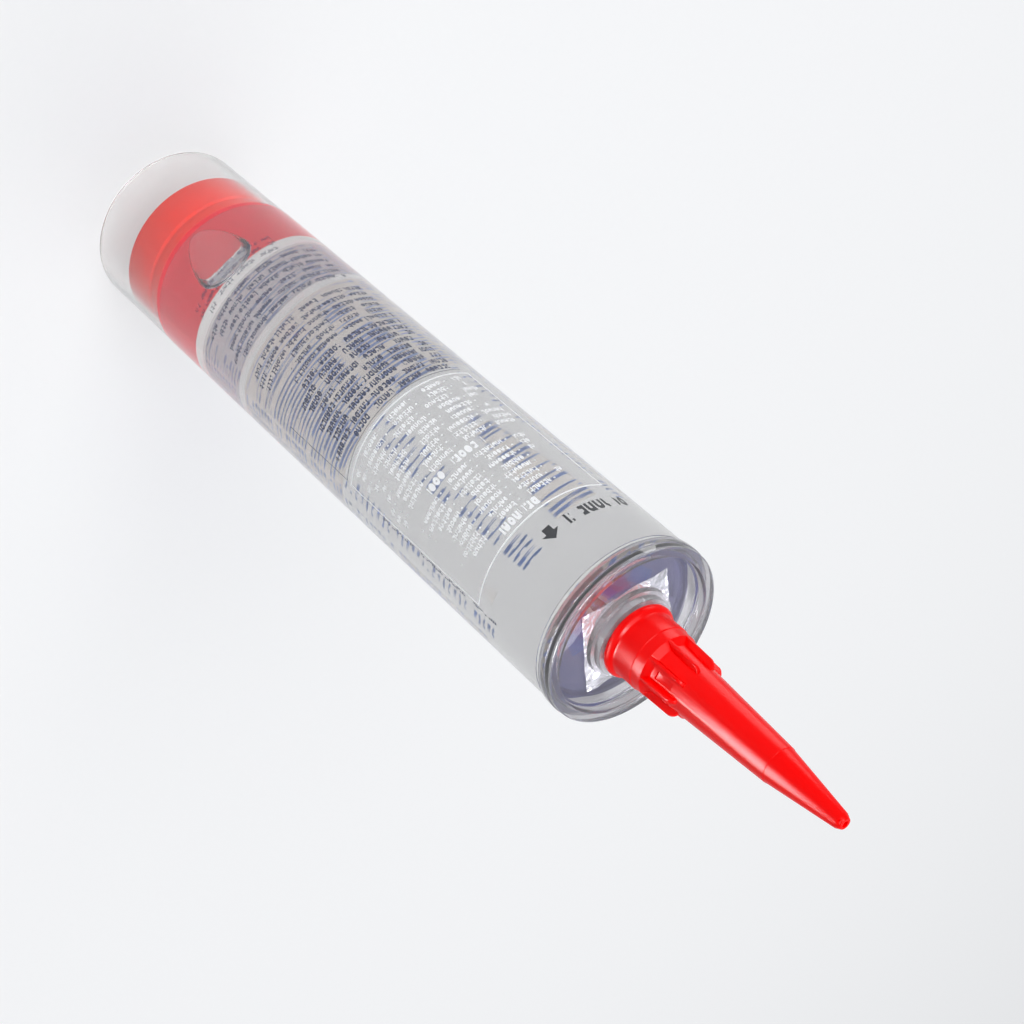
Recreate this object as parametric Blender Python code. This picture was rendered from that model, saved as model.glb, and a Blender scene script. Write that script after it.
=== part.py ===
"""Sealant cartridge: clear barrel, capped front with a neck, red nozzle and plunger, foil, filling, label.

The cartridge stands on its open rear rim. +Z is its axis, towards the nozzle's tip, and the origin is the
centre of the rear rim. Lengths are written in millimetres and angles in degrees, and the meshes are made in
metres.
"""
import math

import bmesh
import bpy
from mathutils import Matrix, Vector

MM = 0.001

# Facets round the axis
BODY_STEPS = 64
NOZZLE_STEPS = 72

# Gap left between pieces that touch on the real cartridge
SEAT_GAP = 0.3

# Edges that turn by more than this are drawn sharp
SHARP_ANGLE = 35.0

# How far the middle of a rounded corner stays from the corner, as a share of its chord's distance
ARC_SHARE = 0.586

# Barrel
BARREL_LENGTH = 216.0
BARREL_DIAMETER = 50.0
BARREL_WALL = 1.5
BARREL_EDGE = 0.3

# Front cap: the flange covers the barrel's end and a skirt plugs its bore
FLANGE_OVERHANG = 0.6
FLANGE_HEIGHT = 4.6
FLANGE_EDGE = 0.5
RIM_WIDTH = 3.0
RIM_DRAFT = 0.3
RECESS_DEPTH = 2.5
FACE_THICKNESS = 1.5
PLUG_DEPTH = 6.0
PLUG_WALL = 1.2
PLUG_LEAD_IN = 0.5

# Stepped boss and neck that carry the nozzle
BOSS_LEDGE = 1.2
BOSS_HEIGHT = 1.4
SEAT_LEDGE = 0.9
SEAT_HEIGHT = 1.9
BOSS_EDGE = 0.25
NECK_DIAMETER = 14.8
NECK_WALL = 2.2
NECK_HEIGHT = 11.5
NECK_EDGE = 0.4

# Nozzle: foot, collar, shoulder, cone and tip, with heights above the foot
NECK_CLEARANCE = 0.4
NECK_END_CLEARANCE = 0.5
FOOT_BEAD = 1.15
FOOT_EDGE = 0.3
FOOT_EDGE_HEIGHT = 0.4
BEAD_HEIGHT = 1.2
FLARE_INSET = 0.38
FLARE_HEIGHT = 1.9
FLARE_END = 0.14
FLARE_END_HEIGHT = 2.4
COLLAR_FOOT_HEIGHT = 3.1
COLLAR_WALL = 1.45
COLLAR_STEP_HEIGHT = 8.5
COLLAR_STEP = 0.25
COLLAR_DRAFT = 0.1
SHOULDER_HEIGHT = 1.6
CONE_INSET = 0.63
CONE_WALL = 1.3
CONE_BREAK_HEIGHT = 51.2
CONE_BREAK_DIAMETER = 10.2
CONE_BREAK_STEP = 0.12
TIP_BEVEL_HEIGHT = 1.4
TIP_DIAMETER = 4.4
TIP_FACE_DIAMETER = 3.0
ORIFICE_DIAMETER = 1.7
NOZZLE_LENGTH = 73.0

# Grip ribs round the nozzle, below the shoulder's edge
RIB_COUNT = 9
RIB_FIRST_ANGLE = -83.0
RIB_LENGTH = 11.0
RIB_NOSE = 3.4
RIB_TAPER = 0.4
RIB_INSET = 0.04
RIB_ROOT_WIDTH = 1.3
RIB_CREST_WIDTH = 0.8
RIB_ROOT_DEPTH = 0.6
RIB_NOSE_STEPS = 5

# Moulded pocket between two ribs, and the notch in the tip's bevel
POCKET_ANGLE = -62.0
POCKET_START = 1.4
POCKET_LENGTH = 5.4
POCKET_WIDTH = 2.0
POCKET_DEPTH = 0.35
NOTCH_ANGLE = -72.0
NOTCH_WIDTH = 0.8
NOTCH_HEIGHT = 0.7
NOTCH_START = 0.4
NOTCH_DEPTH = 0.4

# Plunger cup
PLUNGER_SETBACK = 16.0
PLUNGER_LENGTH = 17.0
PLUNGER_CLEARANCE = 0.3
PLUNGER_WALL = 1.4
PLUNGER_FACE = 1.6
PLUNGER_EDGE = 0.3
PLUNGER_NOSE = 1.0
PLUNGER_DRAFT = 0.3
PLUNGER_FILLET = 1.0
GROOVE_SETBACK = 3.2
GROOVE_WIDTH = 1.8
GROOVE_DEPTH = 0.6

# Filling, with an air bubble flat against the wall: narrow to the rear, blunt and deeper in to the front
HEADSPACE = 1.9
BUBBLE_ANGLE = -95.2
BUBBLE_SETBACK = 11.0
BUBBLE_LENGTH = 21.0
BUBBLE_WIDTH = 14.8
BUBBLE_DEPTH = 9.0
BUBBLE_CUT_DEPTH = 1.2
BUBBLE_TAPER = 0.85
BUBBLE_TILT = 8.0
BUBBLE_STEPS = 20
BUBBLE_RINGS = 14

# Foil seal under the cap's face
FOIL_THICKNESS = 0.15
FOIL_ANGLE = -74.0
FOIL_OFFSET = 2.2
FOIL_WALL_CLEARANCE = 0.8
FOIL_SEALED_MARGIN = 3.0
FOIL_CRUMPLE = 0.8
FOIL_CELLS = 12
# Waves of the crumple: radians per mm across, radians per mm along, starting angle
FOIL_WAVES = ((0.55, 0.21, 0.6), (-0.34, 0.63, 1.9), (0.9, 0.9, 0.0))

# Label film
LABEL_REAR_MARGIN = 36.0
LABEL_FRONT_MARGIN = 1.0
LABEL_THICKNESS = 0.12
LABEL_SEAM_ANGLE = -36.2
LABEL_SEAM_WIDTH = 0.4

# Radii and heights that follow from the sizes above
barrel_radius = BARREL_DIAMETER / 2
bore_radius = barrel_radius - BARREL_WALL
flange_bottom = BARREL_LENGTH + SEAT_GAP
flange_top = flange_bottom + FLANGE_HEIGHT
flange_radius = barrel_radius + FLANGE_OVERHANG
recess_radius = flange_radius - RIM_WIDTH
face_top = flange_top - RECESS_DEPTH
face_bottom = face_top - FACE_THICKNESS
plug_radius = bore_radius - SEAT_GAP
plug_inner_radius = plug_radius - PLUG_WALL
plug_end = BARREL_LENGTH - PLUG_DEPTH

neck_radius = NECK_DIAMETER / 2
neck_bore_radius = neck_radius - NECK_WALL
thread_bore_radius = neck_radius + NECK_CLEARANCE
collar_radius = thread_bore_radius + COLLAR_WALL
foot_radius = collar_radius + FOOT_BEAD
seat_radius = foot_radius + SEAT_LEDGE
boss_radius = seat_radius + BOSS_LEDGE
boss_top = face_top + BOSS_HEIGHT
seat_top = boss_top + SEAT_HEIGHT
neck_top = seat_top + NECK_HEIGHT

nozzle_foot = seat_top + SEAT_GAP
thread_bore_depth = neck_top - nozzle_foot + NECK_END_CLEARANCE
collar_top_radius = collar_radius - COLLAR_STEP - COLLAR_DRAFT
cone_start = thread_bore_depth + SHOULDER_HEIGHT
cone_radius = thread_bore_radius - CONE_INSET
break_radius = CONE_BREAK_DIAMETER / 2
tip_radius = TIP_DIAMETER / 2
tip_face_radius = TIP_FACE_DIAMETER / 2
tip_start = NOZZLE_LENGTH - TIP_BEVEL_HEIGHT
orifice_radius = ORIFICE_DIAMETER / 2

plunger_radius = bore_radius - PLUNGER_CLEARANCE
plunger_front = PLUNGER_SETBACK + PLUNGER_LENGTH
sealant_rear = plunger_front + SEAT_GAP
sealant_front = face_bottom - HEADSPACE
sealant_radius = bore_radius - SEAT_GAP


def cone_outside(height):
    """Outer radius of the nozzle's long cone, at a height above the foot."""
    share = (height - cone_start) / (CONE_BREAK_HEIGHT - cone_start)
    return cone_radius + (break_radius - cone_radius) * share


def new_material(name, colour, roughness, transmission=0.0, metallic=0.0):
    """One Principled material for one piece."""
    material = bpy.data.materials.new(name)
    material.use_nodes = True
    shader = material.node_tree.nodes["Principled BSDF"]
    shader.inputs["Base Color"].default_value = (*colour, 1.0)
    shader.inputs["Roughness"].default_value = roughness
    shader.inputs["Transmission Weight"].default_value = transmission
    shader.inputs["Metallic"].default_value = metallic
    material.diffuse_color = (*colour, 1.0)
    return material


def new_object(name, mesh_data, material=None):
    """Turn a finished bmesh into a smooth-shaded object in the scene."""
    bmesh.ops.recalc_face_normals(mesh_data, faces=mesh_data.faces)
    mesh = bpy.data.meshes.new(name)
    mesh_data.to_mesh(mesh)
    mesh_data.free()
    mesh.shade_smooth()
    mesh.set_sharp_from_angle(angle=math.radians(SHARP_ANGLE))
    piece = bpy.data.objects.new(name, mesh)
    bpy.context.collection.objects.link(piece)
    if material:
        mesh.materials.append(material)
    return piece


def turned(name, profile, material, steps, closed=True, sweep=360.0, start=0.0):
    """Spin a profile of (radius, height) points about Z. A profile that isn't closed ends on the axis."""
    mesh_data = bmesh.new()
    points = [mesh_data.verts.new((radius * MM, 0, height * MM)) for radius, height in profile]
    pairs = list(zip(points, points[1:]))
    if closed:
        pairs.append((points[-1], points[0]))
    edges = [mesh_data.edges.new(pair) for pair in pairs]
    bmesh.ops.rotate(mesh_data, verts=points, matrix=Matrix.Rotation(math.radians(start), 3, "Z"))
    bmesh.ops.spin(
        mesh_data, geom=points + edges, axis=(0, 0, 1), cent=(0, 0, 0), steps=steps,
        angle=math.radians(sweep), use_merge=sweep == 360.0,
    )
    bmesh.ops.remove_doubles(mesh_data, verts=mesh_data.verts, dist=0.001 * MM)
    if sweep < 360.0:
        bmesh.ops.holes_fill(mesh_data, edges=mesh_data.edges, sides=len(profile))
    return new_object(name, mesh_data, material)


def rounded(corner, before, after, size):
    """Two points that round a corner of a profile, each set back by size towards its neighbour."""
    corner = Vector(corner)
    ends = [corner + (Vector(other) - corner).normalized() * size for other in (before, after)]
    middle = corner + ((ends[0] + ends[1]) / 2 - corner) * ARC_SHARE
    return [tuple(ends[0]), tuple(middle), tuple(ends[1])]


def add_boolean(piece, tool, operation):
    """Join a hidden tool solid to a piece, or cut it out."""
    tool.hide_render = True
    tool.display_type = "WIRE"
    modifier = piece.modifiers.new(tool.name, "BOOLEAN")
    modifier.operation = operation
    modifier.solver = "EXACT"
    modifier.object = tool


def block(name, width, depth, height, radius, angle, bottom):
    """A box whose outer face lies at a radius, turned to an angle about Z: width across, depth inwards."""
    mesh_data = bmesh.new()
    bmesh.ops.create_cube(mesh_data, size=1.0)
    bmesh.ops.scale(mesh_data, vec=(depth * MM, width * MM, height * MM), verts=mesh_data.verts)
    shift = ((radius - depth / 2) * MM, 0, (bottom + height / 2) * MM)
    bmesh.ops.translate(mesh_data, vec=shift, verts=mesh_data.verts)
    bmesh.ops.rotate(mesh_data, verts=mesh_data.verts, matrix=Matrix.Rotation(math.radians(angle), 3, "Z"))
    return new_object(name, mesh_data)


def make_barrel():
    edge = BARREL_EDGE
    profile = [
        (bore_radius, edge),
        (bore_radius + edge, 0),
        (barrel_radius - edge, 0),
        (barrel_radius, edge),
        (barrel_radius, BARREL_LENGTH - edge),
        (barrel_radius - edge, BARREL_LENGTH),
        (bore_radius + edge, BARREL_LENGTH),
        (bore_radius, BARREL_LENGTH - edge),
    ]
    clear = new_material("barrel_clear_plastic", (0.93, 0.94, 0.94), 0.05, transmission=1.0)
    return turned("barrel", profile, clear, BODY_STEPS)


def make_front_cap():
    flange_top_outer = (flange_radius, flange_top)
    rim_inner = (recess_radius, flange_top)
    recess_corner = (recess_radius - RIM_DRAFT, face_top)
    profile = [
        (neck_bore_radius, face_bottom),
        (plug_inner_radius, face_bottom),
        (plug_inner_radius, plug_end),
        (plug_radius - PLUG_LEAD_IN, plug_end),
        (plug_radius, plug_end + PLUG_LEAD_IN),
        (plug_radius, flange_bottom),
    ]
    profile += rounded((flange_radius, flange_bottom), profile[-1], flange_top_outer, FLANGE_EDGE)
    profile += rounded(flange_top_outer, (flange_radius, flange_bottom), rim_inner, FLANGE_EDGE)
    profile += rounded(rim_inner, flange_top_outer, recess_corner, FLANGE_EDGE)
    profile += [recess_corner, (boss_radius, face_top)]
    profile += [
        (boss_radius, boss_top - BOSS_EDGE),
        (boss_radius - BOSS_EDGE, boss_top),
        (seat_radius, boss_top),
        (seat_radius, seat_top - BOSS_EDGE),
        (seat_radius - BOSS_EDGE, seat_top),
        (neck_radius, seat_top),
        (neck_radius, neck_top - NECK_EDGE),
        (neck_radius - NECK_EDGE, neck_top),
        (neck_bore_radius, neck_top),
    ]
    clear = new_material("cap_clear_plastic", (0.93, 0.94, 0.95), 0.04, transmission=1.0)
    return turned("front_cap", profile, clear, BODY_STEPS)


def nozzle_profile():
    """Outline of the nozzle above its own foot: up the outside, then down the bore."""
    step_top = COLLAR_STEP_HEIGHT + COLLAR_STEP
    break_top = CONE_BREAK_HEIGHT + CONE_BREAK_STEP
    slope = math.atan2(break_radius - tip_radius, tip_start - CONE_BREAK_HEIGHT)
    wall_across = CONE_WALL / math.cos(slope)
    bore_end = tip_start - (wall_across - (tip_radius - orifice_radius)) / math.tan(slope)
    shoulder_inside = cone_outside(cone_start) - CONE_WALL
    outside = [
        (foot_radius - FOOT_EDGE, 0),
        (foot_radius, FOOT_EDGE_HEIGHT),
        (foot_radius, BEAD_HEIGHT),
        (foot_radius - FLARE_INSET, FLARE_HEIGHT),
        (collar_radius + FLARE_END, FLARE_END_HEIGHT),
        (collar_radius, COLLAR_FOOT_HEIGHT),
        (collar_radius, COLLAR_STEP_HEIGHT),
        (collar_radius - COLLAR_STEP, step_top),
        (collar_top_radius, thread_bore_depth),
        (cone_radius, cone_start),
        (break_radius, CONE_BREAK_HEIGHT),
        (break_radius - CONE_BREAK_STEP, break_top),
        (tip_radius, tip_start),
        (tip_face_radius, NOZZLE_LENGTH),
    ]
    inside = [
        (orifice_radius, NOZZLE_LENGTH),
        (orifice_radius, bore_end),
        (break_radius - CONE_WALL, CONE_BREAK_HEIGHT),
        (shoulder_inside, cone_start),
        (thread_bore_radius, thread_bore_depth),
        (thread_bore_radius, 0),
    ]
    return outside + inside


def rib_outline():
    """Side view of one grip rib, (radius, height): level with the collar, then round down to the cone."""
    rib_start = thread_bore_depth - RIB_ROOT_DEPTH
    rib_end = thread_bore_depth + RIB_LENGTH
    nose_start = rib_end - RIB_NOSE
    shoulder = collar_top_radius - RIB_INSET
    crest = shoulder - RIB_TAPER
    tail = cone_outside(rib_end) - RIB_ROOT_DEPTH
    outline = [
        (cone_outside(cone_start) - RIB_ROOT_DEPTH, cone_start),
        (shoulder - RIB_ROOT_DEPTH, rib_start),
        (shoulder, rib_start),
        (shoulder, thread_bore_depth),
    ]
    for step in range(RIB_NOSE_STEPS + 1):
        turn = math.radians(90 * step / RIB_NOSE_STEPS)
        outline.append((tail + (crest - tail) * math.cos(turn), nose_start + RIB_NOSE * math.sin(turn)))
    return outline


def make_ribs():
    """All the grip ribs in one mesh, each a plate with drafted flanks from root to crest."""
    outline = rib_outline()
    root = min(radius for radius, height in outline)
    crest = max(radius for radius, height in outline)
    mesh_data = bmesh.new()
    for index in range(RIB_COUNT):
        angle = math.radians(RIB_FIRST_ANGLE + 360 * index / RIB_COUNT)
        turn = Matrix.Rotation(angle, 3, "Z")
        sides = []
        for side in (-1, 1):
            points = []
            for radius, height in outline:
                share = (radius - root) / (crest - root)
                half_width = (RIB_ROOT_WIDTH + (RIB_CREST_WIDTH - RIB_ROOT_WIDTH) * share) / 2
                place = turn @ Vector((radius, side * half_width, height))
                points.append(mesh_data.verts.new(place * MM))
            sides.append(points)
        loops = [mesh_data.faces.new(points) for points in sides]
        bmesh.ops.bridge_loops(mesh_data, edges=[edge for face in loops for edge in face.edges])
    return new_object("nozzle_ribs", mesh_data)


def make_nozzle():
    red = new_material("nozzle_red_plastic", (0.9, 0.0, 0.0), 0.3)
    nozzle = turned("nozzle", nozzle_profile(), red, NOZZLE_STEPS)
    pocket_middle = cone_start + POCKET_START + POCKET_LENGTH / 2
    pocket_top = cone_outside(pocket_middle) + RIB_ROOT_DEPTH
    tools = [
        (make_ribs(), "UNION"),
        (block("nozzle_pocket", POCKET_WIDTH, RIB_ROOT_DEPTH + POCKET_DEPTH, POCKET_LENGTH, pocket_top,
               POCKET_ANGLE, cone_start + POCKET_START), "DIFFERENCE"),
        (block("nozzle_notch", NOTCH_WIDTH, NOTCH_DEPTH * 2, NOTCH_HEIGHT, tip_radius + NOTCH_DEPTH / 2,
               NOTCH_ANGLE, tip_start + NOTCH_START), "DIFFERENCE"),
    ]
    nozzle.location.z = nozzle_foot * MM
    for tool, operation in tools:
        tool.location.z = nozzle_foot * MM
        add_boolean(nozzle, tool, operation)
    return nozzle


def make_plunger():
    groove_top = PLUNGER_LENGTH - GROOVE_SETBACK
    groove_bottom = groove_top - GROOVE_WIDTH
    groove_radius = plunger_radius - GROOVE_DEPTH
    cup_radius = plunger_radius - PLUNGER_WALL
    cup_floor = PLUNGER_LENGTH - PLUNGER_FACE
    cup_corner = (cup_radius - PLUNGER_DRAFT, cup_floor)
    front_corner = (plunger_radius, PLUNGER_LENGTH)
    profile = [(0, PLUNGER_LENGTH)]
    profile += rounded(front_corner, profile[0], (plunger_radius, groove_top), PLUNGER_NOSE)
    profile += [
        (plunger_radius, groove_top),
        (groove_radius, groove_top - GROOVE_WIDTH / 4),
        (groove_radius, groove_bottom + GROOVE_WIDTH / 4),
        (plunger_radius, groove_bottom),
        (plunger_radius, PLUNGER_EDGE),
        (plunger_radius - PLUNGER_EDGE, 0),
        (cup_radius, 0),
    ]
    profile += rounded(cup_corner, (cup_radius, 0), (0, cup_floor), PLUNGER_FILLET)
    profile.append((0, cup_floor))
    red = new_material("plunger_red_plastic", (0.85, 0.08, 0.05), 0.35)
    plunger = turned("plunger", profile, red, BODY_STEPS, closed=False)
    plunger.location.z = PLUNGER_SETBACK * MM
    return plunger


def make_sealant():
    core_radius = plug_inner_radius - SEAT_GAP
    shelf = plug_end - SEAT_GAP
    profile = [
        (0, sealant_rear),
        (sealant_radius, sealant_rear),
        (sealant_radius, shelf),
        (core_radius, shelf),
        (core_radius, sealant_front),
        (0, sealant_front),
    ]
    clear = new_material("sealant_clear", (0.95, 0.95, 0.94), 0.02, transmission=1.0)
    sealant = turned("sealant", profile, clear, BODY_STEPS, closed=False)
    add_boolean(sealant, make_air_bubble(), "DIFFERENCE")
    return sealant


def make_air_bubble():
    """An egg tilted so that its narrow rear end meets the wall and its blunt front end lies deeper in."""
    mesh_data = bmesh.new()
    bmesh.ops.create_uvsphere(mesh_data, u_segments=BUBBLE_STEPS, v_segments=BUBBLE_RINGS, radius=0.5)
    points = mesh_data.verts
    for point in points:
        point.co.y *= 1 + BUBBLE_TAPER * point.co.z
    bmesh.ops.scale(mesh_data, vec=(BUBBLE_DEPTH * MM, BUBBLE_WIDTH * MM, BUBBLE_LENGTH * MM), verts=points)
    tilt = Matrix.Rotation(math.radians(-BUBBLE_TILT), 3, "Y")
    bmesh.ops.rotate(mesh_data, verts=points, matrix=tilt)
    middle_radius = sealant_radius + BUBBLE_CUT_DEPTH - BUBBLE_DEPTH / 2
    place = (middle_radius * MM, 0, (sealant_rear + BUBBLE_SETBACK) * MM)
    bmesh.ops.translate(mesh_data, vec=place, verts=points)
    turn = Matrix.Rotation(math.radians(BUBBLE_ANGLE), 3, "Z")
    bmesh.ops.rotate(mesh_data, verts=points, matrix=turn)
    return new_object("air_bubble", mesh_data)


def foil_height(across, along, flat_radius, reach):
    """Height of the foil under the cap's face: flat where it is sealed round the bore, crumpled outside."""
    distance = math.hypot(across, along)
    loose = min(max((distance - flat_radius) / (reach - flat_radius), 0), 1)
    heights = [math.sin(across * turns + along * rise + first) for turns, rise, first in FOIL_WAVES]
    mean = sum(heights) / len(heights)
    return -FOIL_CRUMPLE * loose * (1 - mean) / 2


def make_foil_seal():
    reach = plug_inner_radius - SEAT_GAP - FOIL_WALL_CLEARANCE - FOIL_OFFSET
    half_side = reach / math.sqrt(2)
    flat_radius = neck_bore_radius + FOIL_SEALED_MARGIN
    mesh_data = bmesh.new()
    bmesh.ops.create_grid(mesh_data, x_segments=FOIL_CELLS, y_segments=FOIL_CELLS, size=half_side * MM)
    for point in mesh_data.verts:
        across, along = point.co.x / MM, point.co.y / MM
        point.co.z = foil_height(across, along, flat_radius, reach) * MM
    turn = Matrix.Rotation(math.radians(FOIL_ANGLE + 45), 3, "Z")
    bmesh.ops.rotate(mesh_data, verts=mesh_data.verts, matrix=turn)
    top = face_bottom - SEAT_GAP
    bmesh.ops.translate(mesh_data, vec=(0, FOIL_OFFSET * MM, top * MM), verts=mesh_data.verts)
    metal = new_material("foil_metal", (0.85, 0.86, 0.88), 0.3, metallic=1.0)
    foil = new_object("foil_seal", mesh_data, metal)
    thickness = foil.modifiers.new("thickness", "SOLIDIFY")
    thickness.thickness = FOIL_THICKNESS * MM
    thickness.offset = -1
    return foil


def make_label():
    inner = barrel_radius + SEAT_GAP
    outer = inner + LABEL_THICKNESS
    top = BARREL_LENGTH - LABEL_FRONT_MARGIN
    profile = [(inner, LABEL_REAR_MARGIN), (outer, LABEL_REAR_MARGIN), (outer, top), (inner, top)]
    seam = math.degrees(LABEL_SEAM_WIDTH / inner)
    film = new_material("label_film", (0.62, 0.65, 0.72), 0.25)
    return turned("label", profile, film, BODY_STEPS, sweep=360.0 - seam, start=LABEL_SEAM_ANGLE + seam / 2)


def main():
    for piece in list(bpy.data.objects):
        bpy.data.objects.remove(piece, do_unlink=True)
    make_barrel()
    make_front_cap()
    make_nozzle()
    make_plunger()
    make_sealant()
    make_foil_seal()
    make_label()


main()
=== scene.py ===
"""Looks of the sealant cartridge: clear barrel, printed film, clear cap, foil, filling and red mouldings.

The cartridge stands on its rear rim with its axis on Z. Lengths in the frame are metres; the film's layout
and the patterns are written in millimetres. A turn is measured in degrees round the axis from the side that
faces the camera, and grows anticlockwise seen from above.
"""
import math

import bpy
from mathutils import Matrix, Vector


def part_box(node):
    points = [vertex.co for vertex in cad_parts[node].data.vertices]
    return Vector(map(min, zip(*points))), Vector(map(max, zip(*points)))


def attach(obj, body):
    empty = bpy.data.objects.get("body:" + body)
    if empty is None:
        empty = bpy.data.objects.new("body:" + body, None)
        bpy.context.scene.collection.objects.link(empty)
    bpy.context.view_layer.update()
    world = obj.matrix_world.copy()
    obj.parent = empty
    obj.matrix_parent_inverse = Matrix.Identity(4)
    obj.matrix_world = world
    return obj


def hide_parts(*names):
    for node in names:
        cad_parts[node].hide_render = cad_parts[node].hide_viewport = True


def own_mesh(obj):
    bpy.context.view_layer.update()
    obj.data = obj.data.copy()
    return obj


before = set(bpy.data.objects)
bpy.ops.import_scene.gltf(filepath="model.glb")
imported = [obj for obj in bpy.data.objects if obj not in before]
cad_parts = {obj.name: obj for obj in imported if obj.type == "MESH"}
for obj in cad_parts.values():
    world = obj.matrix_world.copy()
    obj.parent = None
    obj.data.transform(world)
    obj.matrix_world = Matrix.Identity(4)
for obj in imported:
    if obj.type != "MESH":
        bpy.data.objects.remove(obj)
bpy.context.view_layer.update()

MM = 0.001

# Facets round the axis
BODY_STEPS = 144
NOZZLE_STEPS = 144

# Refractive index of the clear plastic and of the filling, which the wall bonds to
CLEAR_INDEX = 1.52

# Barrel wall and film, in mm. A face that lies FILM_CATCH outside the barrel is the film's
WALL = 1.5
FILM_THICKNESS = 0.12
FILM_EDGE = 0.05
FILM_CATCH = 0.03

# Radius in mm of the flat middle from which a solid section is drawn
CENTRE = 2.0

# When a finish is put on: a face within NEAR mm of a surface is on it, and a normal whose share along a
# direction passes SQUARE points that way
NEAR = 0.1
SQUARE = 0.9


# Sizes read from the frame, in millimetres
def low(node, axis=2):
    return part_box(node)[0][axis] / MM


def high(node, axis=2):
    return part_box(node)[1][axis] / MM


barrel_radius = high("barrel", 0)
barrel_top = high("barrel")
film_radius = barrel_radius + FILM_THICKNESS
film_rear = low("label")
film_front = high("label")
plunger_radius = high("plunger", 0)
plunger_rear = low("plunger")
plunger_front = high("plunger")
filling_radius = high("sealant", 0)
filling_rear = low("sealant")
filling_front = high("sealant")
flange_radius = high("front_cap", 0)
neck_top = high("front_cap")
nozzle_foot = low("nozzle")
foot_radius = high("nozzle", 0)
foil_top = high("foil_seal")
bore_radius = barrel_radius - WALL

# Direction that faces the camera, as an angle about Z
FRONT = -90.69


def aim(turn):
    """Angle about Z, in radians, of a turn from the camera's side."""
    return math.radians(FRONT + turn)


# Modelling tools
def deselect():
    if bpy.context.mode != "OBJECT":
        bpy.ops.object.mode_set(mode="OBJECT")
    bpy.ops.object.select_all(action="DESELECT")


def only(piece):
    deselect()
    piece.select_set(True)
    bpy.context.view_layer.objects.active = piece


def clean_up(piece, gap=0.002):
    """Merge doubles, close holes and turn the faces outwards."""
    only(piece)
    bpy.ops.object.mode_set(mode="EDIT")
    bpy.ops.mesh.select_all(action="SELECT")
    bpy.ops.mesh.remove_doubles(threshold=gap * MM)
    bpy.ops.mesh.fill_holes(sides=0)
    bpy.ops.mesh.normals_make_consistent(inside=False)
    bpy.ops.object.mode_set(mode="OBJECT")


def turned(name, section, steps=BODY_STEPS, closed=True):
    """Draw a circle at the section's first point, then extrude and resize it from point to point.

    A closed section runs back to its first point. Any other gets a flat face at each end.
    """
    deselect()
    radius, height = section[0]
    bpy.ops.mesh.primitive_circle_add(vertices=steps, radius=radius * MM, location=(0, 0, height * MM))
    piece = bpy.context.object
    piece.name = name
    bpy.ops.object.mode_set(mode="EDIT")
    stations = section[1:] + section[:1] if closed else section[1:]
    for next_radius, next_height in stations:
        rise = (next_height - height) * MM
        bpy.ops.mesh.extrude_edges_move(TRANSFORM_OT_translate={"value": (0, 0, rise)})
        scale = next_radius / radius
        middle = (0, 0, next_height * MM)
        bpy.ops.transform.resize(value=(scale, scale, 1), center_override=middle)
        radius, height = next_radius, next_height
    bpy.ops.object.mode_set(mode="OBJECT")
    place_in_mesh(piece)
    clean_up(piece)
    return piece


def place_in_mesh(piece):
    only(piece)
    bpy.ops.object.transform_apply(location=True, rotation=True, scale=True)


def apply_modifier(piece, kind, **settings):
    only(piece)
    modifier = piece.modifiers.new(kind.lower(), kind)
    for name, value in settings.items():
        setattr(modifier, name, value)
    bpy.ops.object.modifier_apply(modifier=modifier.name)


def soften(piece, width, segments=3, angle=25):
    """Round every edge that turns by more than an angle."""
    apply_modifier(
        piece, "BEVEL", width=width * MM, segments=segments, limit_method="ANGLE",
        angle_limit=math.radians(angle), use_clamp_overlap=True, miter_outer="MITER_ARC",
    )


def shade(piece, angle=35):
    only(piece)
    bpy.ops.object.shade_smooth_by_angle(angle=math.radians(angle))


def join_or_cut(piece, tool, operation):
    apply_modifier(piece, "BOOLEAN", operation=operation, solver="EXACT", object=tool)
    bpy.data.objects.remove(tool, do_unlink=True)


def turn_piece(piece, angle):
    """Turn a piece about the axis, with its place kept in the mesh."""
    only(piece)
    bpy.ops.transform.rotate(value=-angle, orient_axis="Z", center_override=(0, 0, 0))
    place_in_mesh(piece)


def pick(piece, test):
    """Open a piece in edit mode with only those faces selected whose centre and normal pass a test."""
    only(piece)
    bpy.ops.object.mode_set(mode="EDIT")
    bpy.ops.mesh.select_mode(type="FACE")
    bpy.ops.mesh.select_all(action="DESELECT")
    bpy.ops.object.mode_set(mode="OBJECT")
    for face in piece.data.polygons:
        face.select = test(face.center / MM, face.normal)
    bpy.ops.object.mode_set(mode="EDIT")


def pick_edges(piece, test):
    """Open a piece in edit mode with only those edges selected whose two ends pass a test."""
    only(piece)
    bpy.ops.object.mode_set(mode="EDIT")
    bpy.ops.mesh.select_mode(type="EDGE")
    bpy.ops.mesh.select_all(action="DESELECT")
    bpy.ops.object.mode_set(mode="OBJECT")
    points = piece.data.vertices
    for edge in piece.data.edges:
        edge.select = all(test(points[index].co / MM) for index in edge.vertices)
    bpy.ops.object.mode_set(mode="EDIT")


def dress(piece, *finishes):
    """Give a piece its first material all over, and each later one where its test passes."""
    piece.data.materials.clear()
    for index, (material, test) in enumerate(finishes):
        piece.data.materials.append(material)
        if test:
            for face in piece.data.polygons:
                if test(face.center / MM, face.normal):
                    face.material_index = index


def radius_of(point):
    return math.hypot(point.x, point.y)


def facing(point, normal):
    """Share of a face's normal that points away from the axis."""
    reach = radius_of(point) or 1
    return (normal.x * point.x + normal.y * point.y) / reach


# Node tools
def new_tree(name):
    material = bpy.data.materials.new(name)
    material.use_nodes = True
    nodes = material.node_tree.nodes
    nodes.clear()
    return material, material.node_tree


def add(tree, kind, **settings):
    node = tree.nodes.new(kind)
    for name, value in settings.items():
        setattr(node, name, value)
    return node


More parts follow.
